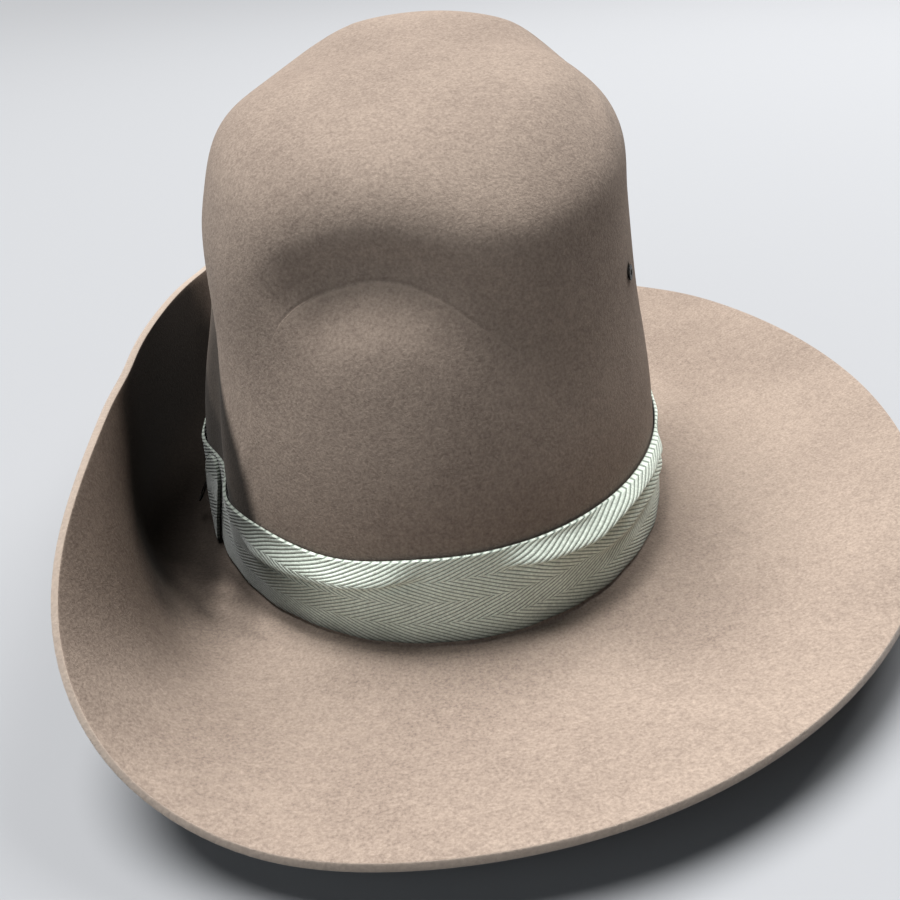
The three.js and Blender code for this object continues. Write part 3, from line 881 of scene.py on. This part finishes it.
@dataclass
class HatFelt:
    """The crown and brim, one shell of felt, from the CAD solid."""

    node: str = "felt_body"
    edge_width: float = 0.55 * MM
    sharp_edge: float = 60.0
    levels: int = 2
    vent_search: float = 8.0 * MM
    vent_radius: float = 2.0 * MM
    ledge_proud: float = 0.2 * MM
    ledge_above: float = 1.6 * MM
    ledge_below: float = 11.0 * MM
    trough_depth: float = 2.9 * MM
    trough_reach: float = 17.0 * MM
    ledge_steps: int = 160
    ledge_heights: tuple[float, float] = (30 * MM, 130 * MM)
    trough_start: tuple[int, int] = (18, 52)
    trough_end: tuple[int, int] = (135, 85)
    fold_line: Rows = (
        (-78.0 * MM, 86.0 * MM),
        (-75.2 * MM, 93.2 * MM),
        (-68.7 * MM, 100.9 * MM),
        (-60.9 * MM, 105.0 * MM),
        (-53.5 * MM, 107.5 * MM),
        (-42.1 * MM, 109.6 * MM),
        (-28.7 * MM, 106.3 * MM),
        (-15.8 * MM, 97.6 * MM),
        (-2.0 * MM, 84.3 * MM),
        (6.3 * MM, 69.2 * MM),
        (15.2 * MM, 44.6 * MM),
    )

    def build(self) -> bpy.types.Object:
        """Builds the felt with its rounded cut edge, its vent hole and the ledge in its face."""
        solid = merged_solid(self.node)
        centre, axis = self.vent_frame()
        self.close_vent(solid, centre, axis)
        join_quads(solid)
        self.mark_cut_edge(solid)
        round_sharp_edges(solid, self.sharp_edge, self.edge_width)
        piece = new_piece("hat_felt", solid)
        mark_folds(piece)
        piece.data.materials.append(FeltFinish().make(self.fold_line))
        piece.data.materials.append(CutEdgeFinish().make())
        subdivide(piece, self.levels)
        drill = self.vent_drill(centre, axis)
        cut = piece.modifiers.new("vent", "BOOLEAN")
        cut.operation = "DIFFERENCE"
        cut.solver = "EXACT"
        cut.object = drill
        apply_modifiers(piece)
        bpy.data.objects.remove(drill)
        self.press_ledge(piece)
        # Paints shade into the pocket between the crown and the turned-up brim.
        mark_pocket(piece.data, POCKET_SHADE_EDGE, POCKET_SHADE_SOFT)
        shade_smooth(piece)
        hand_over(piece, self.node)
        return piece

    def vent_frame(self) -> tuple[Vector, Vector]:
        """Finds the vent's middle and axis from its CAD eyelet.

        Returns:
            The middle, and the way along the axis.
        """
        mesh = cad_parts["vent_eyelet"].data
        low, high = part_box("vent_eyelet")
        ways = np.array([face.normal for face in mesh.polygons])
        areas = np.array([face.area for face in mesh.polygons])
        alike = (np.abs(ways @ ways.T) ** 60 * areas).sum(axis=1)
        return (low + high) / 2, Vector(ways[int(alike.argmax())])

    def close_vent(self, solid: bmesh.types.BMesh, centre: Vector, axis: Vector) -> None:
        """Takes the faceted vent hole out of the felt, so that the felt is smooth there.

        Args:
            solid: The felt under work.
            centre: The vent's middle.
            axis: The way along it.
        """
        edge_points = []
        for vert in solid.verts:
            away = vert.co - centre
            aside = (away - axis * away.dot(axis)).length
            if away.length < self.vent_search and aside < 1.2 * self.vent_radius:
                edge_points.append(vert)
        bmesh.ops.delete(solid, geom=edge_points, context="VERTS")
        open_edges = [edge for edge in solid.edges if edge.is_boundary]
        bmesh.ops.holes_fill(solid, edges=open_edges, sides=0)

    def vent_drill(self, centre: Vector, axis: Vector) -> bpy.types.Object:
        """Makes the round cutter for the vent hole.

        Args:
            centre: The vent's middle.
            axis: The way along it.

        Returns:
            The cutter.
        """
        solid = bmesh.new()
        turn = axis.to_track_quat("Z", "Y").to_matrix().to_4x4()
        bmesh.ops.create_cone(
            solid,
            cap_ends=True,
            segments=32,
            radius1=self.vent_radius,
            radius2=self.vent_radius,
            depth=self.vent_search * 1.5,
            matrix=Matrix.Translation(centre) @ turn,
        )
        return new_piece("vent_drill", solid)

    def mark_cut_edge(self, solid: bmesh.types.BMesh) -> None:
        """Gives the brim's raw edge its own material slot."""
        limit = math.radians(self.sharp_edge)
        for face in solid.faces:
            sharp = [edge for edge in face.edges if edge.calc_face_angle(0.0) > limit]
            if len(sharp) == 2:
                face.material_index = 1

    def press_ledge(self, piece: bpy.types.Object) -> None:
        """Presses the fold line's ledge and hollow, and the small marks, into the crown.

        Args:
            piece: The felt, already subdivided.
        """
        points = points_of(piece.data)
        normals = normals_of(piece.data)
        rows = np.array(self.fold_line)
        fine = np.linspace(0, len(rows) - 1, self.ledge_steps)
        line = np.stack([np.interp(fine, range(len(rows)), rows[:, k]) for k in (0, 1)], axis=1)
        faces_front = (normals[:, 1] < -0.2) & (points[:, 1] < -40 * MM)
        low, high = self.ledge_heights
        near = np.flatnonzero(faces_front & (points[:, 2] > low) & (points[:, 2] < high))
        flat = points[near][:, [0, 2]]
        gaps = flat[:, None, :] - line[None, :, :]
        nearest = np.hypot(gaps[..., 0], gaps[..., 1]).argmin(axis=1)
        gap = gaps[np.arange(len(near)), nearest]
        away = np.hypot(gap[:, 0], gap[:, 1])
        reach = np.where(gap[:, 1] > 0, self.ledge_above, self.ledge_below)
        last = self.ledge_steps - 1
        ends = eased_between(nearest, (0, 30)) * eased_between(nearest, (last, last - 40))
        lift = self.ledge_proud * ends * (1 - eased(away / reach))
        arch = eased_between(nearest, self.trough_start) * eased_between(nearest, self.trough_end)
        lift -= self.trough_depth * arch * (1 - eased(away / self.trough_reach))
        points[near] += normals[near] * lift[:, None]
        for mark in MARKS:
            mark.press(points, normals)
        move_points(piece.data, points)


@dataclass(frozen=True)
class Gather:
    """A fold pressed into the tape: a lip that stands out over a crease.

    Lip and crease are rows of turn in degrees and share of the tape's width.
    """

    lip: Rows
    crease: Rows
    reach: float
    proud: float
    sunk: float = 0.35 * MM
    settle: float = 0.12
    fade: float = 9.0

    def lift(self, turns: np.ndarray, shares: np.ndarray) -> np.ndarray:
        """Says how far the fold lifts the tape off the felt.

        Args:
            turns: The turn of each point.
            shares: Each point's share of the tape's width.

        Returns:
            The lift of each point in metres.
        """
        lip = through(self.lip, turns)
        crease = through(self.crease, turns)
        above = eased((lip + self.reach - shares) / self.reach)
        between = eased((shares - crease) / (lip - crease))
        below = eased((crease - shares) / self.settle)
        drop = -self.sunk + (self.proud + self.sunk) * between
        rise = np.where(shares >= lip, self.proud * above, drop)
        rise = np.where(shares < crease, -self.sunk * (1 - below), rise)
        first, last = self.lip[0][0], self.lip[-1][0]
        ends = eased((turns - first) / self.fade) * eased((last - turns) / self.fade)
        return ends * rise


LEFT_GATHER = Gather(
    lip=((219, 0.66), (230, 0.63), (240, 0.67), (247, 0.68), (253, 0.72), (258, 0.78), (266, 0.84)),
    crease=((219, 0.59), (231, 0.57), (240, 0.605), (246, 0.625), (254, 0.67), (266, 0.78)),
    reach=0.3,
    proud=2.2 * MM,
    sunk=0.6 * MM,
)
RIGHT_GATHER = Gather(
    lip=((279, 0.82), (289, 0.79), (295, 0.77), (301, 0.76), (306, 0.81), (312, 0.87), (340, 0.9)),
    crease=((279, 0.765), (289, 0.73), (295, 0.71), (301, 0.69), (306, 0.735), (312, 0.8), (340, 0.84)),
    reach=0.2,
    proud=3.2 * MM,
    sunk=0.7 * MM,
)
SECOND_GATHER = Gather(
    lip=((300, 0.52), (308, 0.53), (312, 0.54), (317, 0.57), (325, 0.56), (344, 0.6)),
    crease=((300, 0.42), (310, 0.41), (317, 0.41), (323, 0.40), (344, 0.42)),
    reach=0.16,
    proud=1.7 * MM,
    sunk=0.4 * MM,
)


TAB_TURN = 196.0
TAPE_SHADE_SOFT = 32.0
TAPE_LEVELS = 3
TAPE = TapeFinish().make()
BLACK_METAL = BlackMetalFinish().make()


def lay_tape_map(mesh: bpy.types.Mesh, seam: float) -> None:
    """Gives a tape piece its map: metres along the tape and metres up it.

    Args:
        mesh: The tape's mesh.
        seam: The turn in degrees where the map starts and ends.
    """
    points = points_of(mesh)
    turns = (FOOT.turns(points) - seam) % 360 + seam
    whole = FOOT.distances(np.array([360.0]))[0]
    along = FOOT.distances(turns % 360) + np.where(turns >= 360, whole, 0.0)
    up = points[:, 2] - FOOT.low.z
    corners = np.empty(len(mesh.loops), dtype=int)
    mesh.loops.foreach_get("vertex_index", corners)
    counts = np.empty(len(mesh.polygons), dtype=int)
    mesh.polygons.foreach_get("loop_total", counts)
    starts = np.concatenate([[0], np.cumsum(counts)[:-1]])
    run = along[corners]
    furthest = np.repeat(np.maximum.reduceat(run, starts), counts)
    run = np.where(furthest - run > whole / 2, run + whole, run)
    laid = mesh.uv_layers.new(name="tape")
    laid.uv.foreach_set("vector", np.stack([run, up[corners]], axis=1).ravel())


def smoothed_tape(node: str, name: str, edge_width: float, seam: float) -> bpy.types.Object:
    """Makes a smooth piece of tape from a CAD node, with its map.

    Args:
        node: The CAD node's name.
        name: The piece's name.
        edge_width: The width of its rounded edges in metres.
        seam: The turn in degrees where its map starts.

    Returns:
        The piece.
    """
    solid = merged_solid(node)
    join_quads(solid)
    round_sharp_edges(solid, SHARP_EDGE, edge_width)
    piece = new_piece(name, solid)
    mark_folds(piece)
    subdivide(piece, TAPE_LEVELS)
    apply_modifiers(piece)
    lay_tape_map(piece.data, seam)
    return piece


def finish_tape(piece: bpy.types.Object, node: str) -> None:
    """Dresses a piece of tape and hands it over.

    Args:
        piece: The piece, in its last shape.
        node: The CAD node it stands for.
    """
    # Paints shade on the tape where it runs into the pocket.
    mark_pocket(piece.data, TAPE_SHADE_EDGE, TAPE_SHADE_SOFT)
    piece.data.materials.clear()
    piece.data.materials.append(TAPE)
    shade_smooth(piece)
    hand_over(piece, node)


@dataclass
class TapeBand:
    """The cotton tape round the crown's foot, with the folds gathered into it."""

    node: str = "tape_band"
    edge_width: float = 0.3 * MM
    top_dip: float = 2.0 * MM
    dip_turn: float = 246.0
    dip_half: float = 20.0
    ripple: float = 0.25 * MM
    flat_length: float = 0.59
    gathers: tuple[Gather, ...] = (LEFT_GATHER, RIGHT_GATHER, SECOND_GATHER)

    def build(self) -> bpy.types.Object:
        """Builds the tape with its gathers and its map."""
        piece = smoothed_tape(self.node, "hat_tape", self.edge_width, seam=TAB_TURN)
        self.gather(piece.data)
        finish_tape(piece, self.node)
        return piece

    def gather(self, mesh: bpy.types.Mesh) -> None:
        """Presses the gathers and the dip of the upper edge into the tape.

        Args:
            mesh: The tape's mesh.
        """
        points = points_of(mesh)
        normals = normals_of(mesh)
        turns = FOOT.turns(points)
        shares = FOOT.shares(points)
        ways = FOOT.outward(turns)
        facing = np.clip((normals * ways).sum(axis=1) * 2, 0.0, 1.0)
        lift = sum(gather.lift(turns, shares) for gather in self.gathers)
        angles = np.radians(turns)
        lift = lift + self.ripple * np.sin(9 * angles + 4 * shares) * np.sin(23 * angles + 1)
        points += ways * (facing * lift)[:, None]
        dip = self.top_dip * (1 - eased(np.abs(turns - self.dip_turn) / self.dip_half))
        points[:, 2] -= dip * eased(shares * 2 - 1)
        move_points(mesh, points)


@dataclass
class BandTab:
    """The folded end of the tape, laid over the band where it closes."""

    node: str = "band_tab"
    edge_width: float = 0.3 * MM

    def build(self) -> bpy.types.Object:
        """Builds the tab with its map."""
        piece = smoothed_tape(self.node, "hat_tab", self.edge_width, seam=TAB_TURN - 90)
        finish_tape(piece, self.node)
        return piece


@dataclass
class MetalTrim:
    """A small blackened piece, smoothed from its CAD solid."""

    node: str
    name: str
    edge_width: float = 0.0
    levels: int = 2
    swing: float = 0.0

    def build(self) -> bpy.types.Object:
        """Builds the piece with its edges rolled over."""
        solid = merged_solid(self.node)
        join_quads(solid)
        if self.edge_width:
            round_sharp_edges(solid, SHARP_EDGE, self.edge_width)
        piece = new_piece(self.name, solid)
        subdivide(piece, self.levels)
        apply_modifiers(piece)
        self.swing_out(piece.data)
        piece.data.materials.clear()
        piece.data.materials.append(BLACK_METAL)
        shade_smooth(piece)
        hand_over(piece, self.node)
        return piece

    def swing_out(self, mesh: bpy.types.Mesh) -> None:
        """Swings the piece's lower end away from the crown, about its upper end."""
        points = points_of(mesh)
        hang = points[:, 2].max() - points[:, 2]
        ways = FOOT.outward(FOOT.turns(points))
        move_points(mesh, points + ways * (hang * math.tan(math.radians(self.swing)))[:, None])


@dataclass(frozen=True)
class SoftLight:
    """A soft light at a turn from +X and a height over the floor, both in degrees.

    With a spread in degrees it shines from far off, alike over the whole floor, and its power
    counts for each square metre. Without one it is a square of a size in metres.
    """

    name: str
    turn: float
    height: float
    power: float
    size: float = 0.0
    spread: float = 0.0
    colour: Colour = (1.0, 1.0, 1.0)
    distance: float = 2.4

    def hang(self, aim: Vector) -> None:
        """Hangs the light so that it faces a point.

        Args:
            aim: The point.
        """
        data = bpy.data.lights.new(self.name, "SUN" if self.spread else "AREA")
        if self.spread:
            data.angle = math.radians(self.spread)
        else:
            data.size = self.size
        data.energy = self.power
        data.color = self.colour
        lamp = bpy.data.objects.new(self.name, data)
        bpy.context.scene.collection.objects.link(lamp)
        turn, height = math.radians(self.turn), math.radians(self.height)
        level = math.cos(height)
        way = Vector((level * math.cos(turn), level * math.sin(turn), math.sin(height)))
        lamp.location = aim + way * self.distance
        lamp.rotation_euler = (-way).to_track_quat("-Z", "Y").to_euler()


@dataclass
class Studio:
    """The camera, the soft lights and the pale floor."""

    camera_place: tuple[float, float, float] = (-35.132 * MM, -325.317 * MM, 200.099 * MM)
    yaw: float = 2.0
    pitch: float = 30.0
    roll: float = 4.5
    lens: float = 38.0
    sensor: float = 36.0
    floor_side: float = 40.0
    floor_colour: Colour = (0.21, 0.214, 0.222)
    aim: tuple[float, float, float] = (0.0, 0.0, 0.06)
    key: SoftLight = SoftLight("key", turn=137.0, height=71.0, power=7.8, spread=36.0)
    back: SoftLight = SoftLight("back", turn=45.0, height=50.0, power=62.0, size=1.2)
    fill: SoftLight = SoftLight("fill", turn=234.0, height=30.0, power=17.5, size=2.0,
                                colour=(0.86, 0.94, 1.0))
    sky_colour: Colour = (0.93, 0.96, 1.0)
    sky_strength: float = 0.01
    sky_seen: float = 0.6

    def build(self) -> None:
        """Builds the whole studio."""
        self.set_camera()
        self.lay_floor()
        for light in (self.key, self.back, self.fill):
            light.hang(Vector(self.aim))
        self.set_sky()

    def set_camera(self) -> None:
        """Puts the camera where the photograph was taken from."""
        data = bpy.data.cameras.new("camera")
        data.lens = self.lens
        data.sensor_width = self.sensor
        data.clip_start = 0.01
        camera = bpy.data.objects.new("camera", data)
        bpy.context.scene.collection.objects.link(camera)
        aim = Matrix.Rotation(math.radians(-self.yaw), 4, "Z")
        tilt = Matrix.Rotation(math.radians(90 - self.pitch), 4, "X")
        lean = Matrix.Rotation(math.radians(-self.roll), 4, "Z")
        camera.matrix_world = Matrix.Translation(self.camera_place) @ aim @ tilt @ lean
        bpy.context.scene.camera = camera

    def lay_floor(self) -> None:
        """Lays the plain pale floor under the hat."""
        solid = bmesh.new()
        bmesh.ops.create_grid(solid, x_segments=2, y_segments=2, size=self.floor_side / 2)
        floor = new_piece("floor", solid)
        material, _, shader = new_material("pale_floor")
        set_values(shader, {"Base Color": (*self.floor_colour, 1.0), "Roughness": 0.9})
        floor.data.materials.append(material)

    def set_sky(self) -> None:
        """Sets the low, even light from all round."""
        world = bpy.data.worlds.new("sky")
        world.use_nodes = True
        sky = world.node_tree.nodes["Background"]
        sky.inputs["Color"].default_value = (*self.sky_colour, 1.0)
        seen = world.node_tree.nodes.new("ShaderNodeLightPath").outputs["Is Camera Ray"]
        strength = world.node_tree.nodes.new("ShaderNodeMapRange")
        strength.inputs["To Min"].default_value = self.sky_strength
        strength.inputs["To Max"].default_value = self.sky_seen
        world.node_tree.links.new(seen, strength.inputs["Value"])
        world.node_tree.links.new(strength.outputs[0], sky.inputs["Strength"])
        bpy.context.scene.world = world
        bpy.context.scene.view_settings.view_transform = "Standard"


def main() -> None:
    """Builds the studio and every piece of the hat in order."""
    logging.basicConfig(level=logging.INFO, format="%(message)s")
    Studio().build()
    felt = HatFelt().build()
    tape = TapeBand().build()
    tab = BandTab().build()
    loop = MetalTrim("band_loop", "hat_loop", swing=30.0).build()
    MetalTrim("vent_eyelet", "hat_eyelet", edge_width=0.12 * MM).build()


if __name__ == "__main__":
    main()
